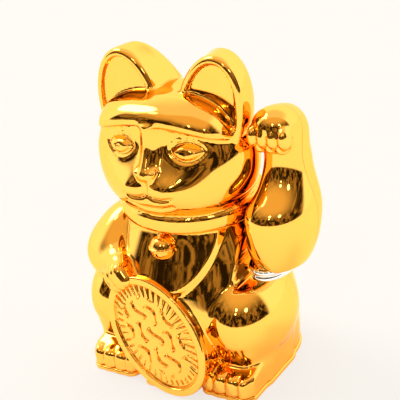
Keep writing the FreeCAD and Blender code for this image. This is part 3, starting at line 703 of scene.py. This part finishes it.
def half_mesh(mesh, name, at, keep_front, gap):
    """One side of a hollow form, cut at a plane across Y, with the cut walls closed."""
    half = bmesh.new()
    half.from_mesh(mesh)
    y = (at - gap / 2 if keep_front else at + gap / 2) * MM
    geometry = half.verts[:] + half.edges[:] + half.faces[:]
    cut = bmesh.ops.bisect_plane(
        half, geom=geometry, dist=1e-7, plane_co=(0, y, 0), plane_no=(0, 1, 0),
        clear_outer=keep_front, clear_inner=not keep_front)
    rim = [e for e in cut["geom_cut"] if isinstance(e, bmesh.types.BMEdge) and e.is_boundary]
    filled = bmesh.ops.triangle_fill(half, edges=rim, use_beauty=True, normal=(0, 1 if keep_front else -1, 0))
    caps = [f for f in filled["geom"] if isinstance(f, bmesh.types.BMFace)]
    for face in caps:
        face.smooth = False
    for edge in rim:
        edge.smooth = False
    bmesh.ops.recalc_face_normals(half, faces=half.faces[:])
    result = bpy.data.meshes.new(name)
    half.to_mesh(result)
    half.free()
    return result


#  grid steps in millimetres: the body's here, the small parts' below
BODY_STEP = 0.85
SEAM_GAP = 0.14


def body_shells():
    """The two body halves, cut from one sculpted form."""
    whole = sculpt("body_form", body, (-54, -48, -1), (54, 38, 152), BODY_STEP)
    for name, front in (("front_shell_skin", True), ("rear_shell_skin", False)):
        mesh = half_mesh(whole, name, SEAM_Y, front, SEAM_GAP)
        piece = new_piece(name, mesh, "case", "gold_plating", "front_shell" if front else "rear_shell")
        piece.data.materials.append(gold())
    bpy.data.meshes.remove(whole)


def arm_shells():
    """The two arm halves, cut from one sculpted form."""
    whole = sculpt("arm_form", arm, (28, -30, 54), (64, 18, 132), BODY_STEP * 0.8)
    for name, front in (("arm_front_skin", True), ("arm_rear_skin", False)):
        mesh = half_mesh(whole, name, ARM_SEAM_Y, front, SEAM_GAP)
        piece = new_piece(name, mesh, "arm", "gold_plating", "arm_front_shell" if front else "arm_rear_shell")
        piece.data.materials.append(gold())
    bpy.data.meshes.remove(whole)


FINE_STEP = 0.3


def small_piece(name, field, low, high, step, body_name, node, slot, finish):
    """Sculpts one piece that stands for one CAD part."""
    mesh = sculpt(name, field, low, high, step)
    piece = new_piece(name, mesh, body_name, slot, node)
    piece.data.materials.append(finish)


def small_parts():
    """Coin, bell and plinth on the body, and the plug on the arm."""
    small_piece("coin_skin", coin, (-32, -50, -6), (30, -34, 58), FINE_STEP,
                "case", "coin_plaque", "gold_plating", gold())
    small_piece("bell_skin", bell, (-7, -39, 58), (7, -25, 75), FINE_STEP * 0.7,
                "case", "collar_bell", "gold_plating", gold())
    small_piece("plug_skin", plug, (31, -26, 50), (53, 8, 59), FINE_STEP * 1.3,
                "arm", "arm_plug", "silver_plating", silver())
    small_piece("base_skin", base, (-54, -50, -2), (54, 40, 5), FINE_STEP * 1.8,
                "case", "base_plate", "gold_plating", gold())


# ---------------------------------------------------------------- materials


def node_material(name):
    """A new material and its node tree, or the one of that name and no tree when it is there already."""
    material = bpy.data.materials.get(name)
    if material:
        return material, None
    material = bpy.data.materials.new(name)
    material.use_nodes = True
    return material, material.node_tree


def add(tree, kind, **values):
    """A shader node. Each value sets the input of that name, or else the node's own property."""
    node = tree.nodes.new("ShaderNode" + kind)
    for key, value in values.items():
        if key in node.inputs:
            node.inputs[key].default_value = value
        else:
            setattr(node, key, value)
    return node


def noise(tree, place, scale, detail, roughness=0.5):
    """A noise texture's value at each place."""
    node = add(tree, "TexNoise", Scale=scale, Detail=detail, Roughness=roughness)
    tree.links.new(place, node.inputs["Vector"])
    return node.outputs["Fac"]


def stretch_value(tree, value, low, high, to_low=0.0, to_high=1.0, kind="LINEAR"):
    """Takes a value's range low to high onto to_low to to_high, and holds it between them."""
    node = add(tree, "MapRange", interpolation_type=kind)
    tree.links.new(value, node.inputs["Value"])
    for key, number in (("From Min", low), ("From Max", high), ("To Min", to_low), ("To Max", to_high)):
        node.inputs[key].default_value = number
    return node.outputs["Result"]


def mix(tree, factor, first, second):
    """A colour from first, at factor 0, to second, at factor 1. Each is a colour or a node's output."""
    node = add(tree, "MixRGB")
    tree.links.new(factor, node.inputs["Fac"])
    for key, colour in (("Color1", first), ("Color2", second)):
        if isinstance(colour, tuple):
            node.inputs[key].default_value = (*colour, 1)
        else:
            tree.links.new(colour, node.inputs[key])
    return node.outputs["Color"]


def bump(tree, shader, height, strength, distance):
    """Bends the shading by a fine height pattern."""
    bend = add(tree, "Bump", Strength=strength, Distance=distance)
    tree.links.new(height, bend.inputs["Height"])
    tree.links.new(bend.outputs["Normal"], shader.inputs["Normal"])


def plated(name, colour, shade):
    """Vacuum-plated plastic: a mirror with a faint orange peel, a soft haze and fine scuffs."""
    material, tree = node_material(name)
    if tree is None:
        return material
    shader = tree.nodes["Principled BSDF"]
    place = add(tree, "TexCoord").outputs["Object"]
    peel = noise(tree, place, 55.0, 2.0)
    scuff = noise(tree, place, 420.0, 4.0)
    haze = noise(tree, place, 28.0, 5.0)
    tint = mix(tree, stretch_value(tree, haze, 0.35, 0.75), colour, shade)
    tree.links.new(tint, shader.inputs["Base Color"])
    gloss = stretch_value(tree, scuff, 0.4, 0.8, 0.035, 0.10)
    tree.links.new(gloss, shader.inputs["Roughness"])
    bump(tree, shader, peel, 0.06, 0.0006)
    shader.inputs["Metallic"].default_value = 1.0
    shader.inputs["Specular Tint"].default_value = (1, 0.80, 0.58, 1)
    return material


def gold():
    """The yellow plating."""
    return plated("mirror_gold", (1.0, 0.545, 0.10), (1.0, 0.515, 0.085))


def silver():
    """The bright plating of the plug."""
    return plated("mirror_silver", (0.86, 0.87, 0.90), (0.78, 0.79, 0.83))


#  slot: colour, worn colour, metallic, roughest, texture size
FINISHES = {
    "white_plastic": ((0.86, 0.85, 0.81), (0.79, 0.77, 0.72), 0.0, 0.42, 60),
    "black_plastic": ((0.035, 0.035, 0.04), (0.06, 0.06, 0.065), 0.0, 0.5, 80),
    "battery": ((0.11, 0.12, 0.15), (0.16, 0.17, 0.19), 0.35, 0.35, 35),
    "nickel_strip": ((0.72, 0.70, 0.65), (0.58, 0.56, 0.51), 1.0, 0.32, 120),
    "steel": ((0.58, 0.58, 0.60), (0.46, 0.46, 0.48), 1.0, 0.35, 140),
    "magnet": ((0.70, 0.70, 0.72), (0.60, 0.60, 0.63), 1.0, 0.22, 90),
    "copper_wire": ((0.75, 0.34, 0.14), (0.52, 0.20, 0.07), 1.0, 0.35, 160),
    "board": ((0.05, 0.25, 0.10), (0.035, 0.18, 0.075), 0.0, 0.35, 45),
    "components": ((0.06, 0.06, 0.07), (0.11, 0.10, 0.10), 0.0, 0.45, 150),
    "red_insulation": ((0.62, 0.04, 0.03), (0.48, 0.03, 0.025), 0.0, 0.5, 90),
    "black_insulation": ((0.025, 0.025, 0.027), (0.05, 0.05, 0.05), 0.0, 0.5, 90),
    "screw_steel": ((0.50, 0.48, 0.45), (0.40, 0.37, 0.32), 1.0, 0.38, 200),
}


def finish_for(slot):
    """A plain material for a hidden part: two mottled tones, uneven gloss and a fine grain."""
    if slot == "gold_plating":
        return gold()
    if slot == "silver_plating":
        return silver()
    colour, worn, metallic, roughest, size = FINISHES[slot]
    material, tree = node_material("look_" + slot)
    if tree is None:
        return material
    shader = tree.nodes["Principled BSDF"]
    place = add(tree, "TexCoord").outputs["Object"]
    mottle = noise(tree, place, float(size), 5.0, 0.6)
    grain = noise(tree, place, size * 14.0, 3.0)
    tree.links.new(mix(tree, mottle, colour, worn), shader.inputs["Base Color"])
    gloss = stretch_value(tree, grain, 0.0, 1.0, roughest * 0.6, roughest)
    tree.links.new(gloss, shader.inputs["Roughness"])
    bump(tree, shader, grain, 0.12, 0.0002)
    shader.inputs["Metallic"].default_value = metallic
    return material


CAD_PARTS_BY_SLOT = {
    "gold_plating": ("base_plate", "front_shell", "rear_shell", "coin_plaque", "collar_bell",
                     "arm_front_shell", "arm_rear_shell"),
    "silver_plating": ("arm_plug",),
    "white_plastic": ("battery_door", "swing_frame", "swing_lever"),
    "black_plastic": ("battery_tray", "coil_bobbin"),
    "battery": ("battery_cell",),
    "nickel_strip": ("positive_contact", "negative_contact"),
    "steel": ("pivot_pin", "pin_clip", "steel_weight"),
    "magnet": ("drive_magnet",),
    "copper_wire": ("coil_winding", "coil_leads"),
    "board": ("circuit_board",),
    "components": ("board_components",),
    "red_insulation": ("positive_lead",),
    "black_insulation": ("negative_lead",),
    "screw_steel": ("base_screws", "frame_screws"),
}


def dress_cad_parts():
    """Every CAD part keeps its shape and takes the look of its slot."""
    for slot, nodes in CAD_PARTS_BY_SLOT.items():
        for node in nodes:
            part = frame["nodes"][node]
            part.data.materials.clear()
            part.data.materials.append(finish_for(slot))


# ---------------------------------------------------------------- light tent, floor and camera

CAMERA_AZIMUTH, CAMERA_HEIGHT, CAMERA_ROLL = (math.radians(v) for v in (33, 24, -5.5))
CAMERA_DISTANCE = 0.470
LENS, SENSOR_WIDTH = 93.15, 36.0
SHIFT_X, SHIFT_Y = 0.005, -0.005
TARGET = np.array([0, 0, 0.075])


def view_axes():
    """The camera's right, up and backward directions."""
    a, e = CAMERA_AZIMUTH, CAMERA_HEIGHT
    back = np.array([math.sin(a) * math.cos(e), -math.cos(a) * math.cos(e), math.sin(e)])
    right = np.array([math.cos(a), math.sin(a), 0])
    up = np.cross(back, right)
    c, s = math.cos(CAMERA_ROLL), math.sin(CAMERA_ROLL)
    return right * c + up * s, up * c - right * s, back


def camera():
    """The camera, placed and framed as in the photograph."""
    right, up, back = view_axes()
    data = bpy.data.cameras.new("camera")
    data.lens, data.sensor_width = LENS, SENSOR_WIDTH
    data.shift_x, data.shift_y = SHIFT_X, SHIFT_Y
    data.clip_start = 0.01
    view = bpy.data.objects.new("camera", data)
    bpy.context.scene.collection.objects.link(view)
    place = TARGET + back * CAMERA_DISTANCE
    matrix = np.eye(4)
    matrix[:3, 0], matrix[:3, 1], matrix[:3, 2], matrix[:3, 3] = right, up, back, place
    view.matrix_world = Matrix([list(row) for row in matrix])
    bpy.context.scene.camera = view


FLOOR_HALF = 3.0
FLOOR_Z = -0.0004  # just under the plinth, in metres


def floor():
    """A wide pale sheet that the figure stands on. The camera sees most of it as an even tone."""
    mesh = bpy.data.meshes.new("floor_sheet")
    form = bmesh.new()
    bmesh.ops.create_grid(form, x_segments=2, y_segments=2, size=FLOOR_HALF)
    form.to_mesh(mesh)
    form.free()
    sheet = bpy.data.objects.new("floor_sheet", mesh)
    bpy.context.scene.collection.objects.link(sheet)
    sheet.location.z = FLOOR_Z
    material, tree = node_material("pale_sheet")
    shader = tree.nodes["Principled BSDF"]
    grain = add(tree, "TexNoise", Scale=900.0, Detail=3.0)
    tone = mix(tree, grain.outputs["Fac"], (0.95, 0.935, 0.91), (0.93, 0.91, 0.885))
    tree.links.new(tone, shader.inputs["Base Color"])
    shader.inputs["Roughness"].default_value = 0.8
    shader.inputs["Emission Color"].default_value = (1.0, 0.975, 0.94, 1)
    shader.inputs["Emission Strength"].default_value = 0.26
    soft = add(tree, "Emission", Color=(0.875, 0.86, 0.83, 1), Strength=1.0)
    seen = add(tree, "LightPath").outputs["Is Camera Ray"]
    share = add(tree, "Math", operation="MULTIPLY")
    tree.links.new(seen, share.inputs[0])
    share.inputs[1].default_value = 0.8
    blend = add(tree, "MixShader")
    tree.links.new(share.outputs[0], blend.inputs[0])
    tree.links.new(shader.outputs[0], blend.inputs[1])
    tree.links.new(soft.outputs[0], blend.inputs[2])
    tree.links.new(blend.outputs[0], tree.nodes["Material Output"].inputs["Surface"])
    mesh.materials.append(material)


#  each lamp's direction and height, its radius as seen from the figure, all in degrees, and its strength
LAMPS = (
    (-90, 50, 12, 9.0), (13, 40, 2.8, 12.0), (50, 35, 4.0, 7.0), (12, 31, 1.8, 8.0), (-62, 58, 4.0, 5.0),
)
TENT, CEILING, FLOOR_GLOW = (1.50, 1.48, 1.44), (1.05, 0.98, 0.86), (1.4, 1.37, 1.32)
ROOM_DARK, ROOM_CLUTTER, ROOM_TOP = (0.02, 0.013, 0.006), (0.42, 0.27, 0.12), (0.92, 0.66, 0.34)
BACKDROP = (0.975, 0.955, 0.925)


def world():
    """White all round, but for a dark room at the open front with a few lamps in it."""
    scene = bpy.context.scene
    scene.world = bpy.data.worlds.new("light_tent")
    scene.world.use_nodes = True
    tree = scene.world.node_tree
    background = tree.nodes["Background"]
    direction = add(tree, "TexCoord").outputs["Generated"]

    def facing(azimuth, height):
        """Cosine between a ray and a direction given in degrees, azimuth 0 being the front."""
        a, e = math.radians(azimuth), math.radians(height)
        node = add(tree, "VectorMath", operation="DOT_PRODUCT")
        tree.links.new(direction, node.inputs[0])
        node.inputs[1].default_value = (math.sin(a) * math.cos(e), -math.cos(a) * math.cos(e), math.sin(e))
        return node.outputs["Value"]

    def ramp(value, start, end):
        """Eases from 0 at start to 1 at end."""
        return stretch_value(tree, value, start, end, kind="SMOOTHSTEP")

    stretch = add(tree, "Mapping")
    stretch.inputs["Scale"].default_value = (1.6, 1.6, 0.9)
    tree.links.new(direction, stretch.inputs["Vector"])
    clutter = noise(tree, stretch.outputs["Vector"], 4.6, 4.0, 0.65)
    height = facing(0, 90)
    low_room = mix(tree, ramp(clutter, 0.47, 0.60), ROOM_DARK, ROOM_CLUTTER)
    room = mix(tree, ramp(height, 0.34, 0.88), low_room, ROOM_TOP)
    tent = mix(tree, ramp(height, 0.62, 0.92), TENT, CEILING)
    light = mix(tree, ramp(facing(20, 0), 0.04, 0.20), tent, room)
    light = mix(tree, ramp(height, 0.03, -0.03), light, FLOOR_GLOW)
    for azimuth, up, radius, strength in LAMPS:
        size = math.radians(radius)
        lamp = ramp(facing(azimuth, up), math.cos(size * 1.15), math.cos(size * 0.9))
        light = mix(tree, lamp, light, (strength, strength * 0.98, strength * 0.95))
    camera_ray = add(tree, "LightPath").outputs["Is Camera Ray"]
    light = mix(tree, camera_ray, light, BACKDROP)
    tree.links.new(light, background.inputs["Color"])
    background.inputs["Strength"].default_value = 1.0


# ---------------------------------------------------------------- build the scene

body_shells()
arm_shells()
small_parts()
dress_cad_parts()
floor()
world()
camera()
bpy.context.scene.view_settings.view_transform = "Standard"
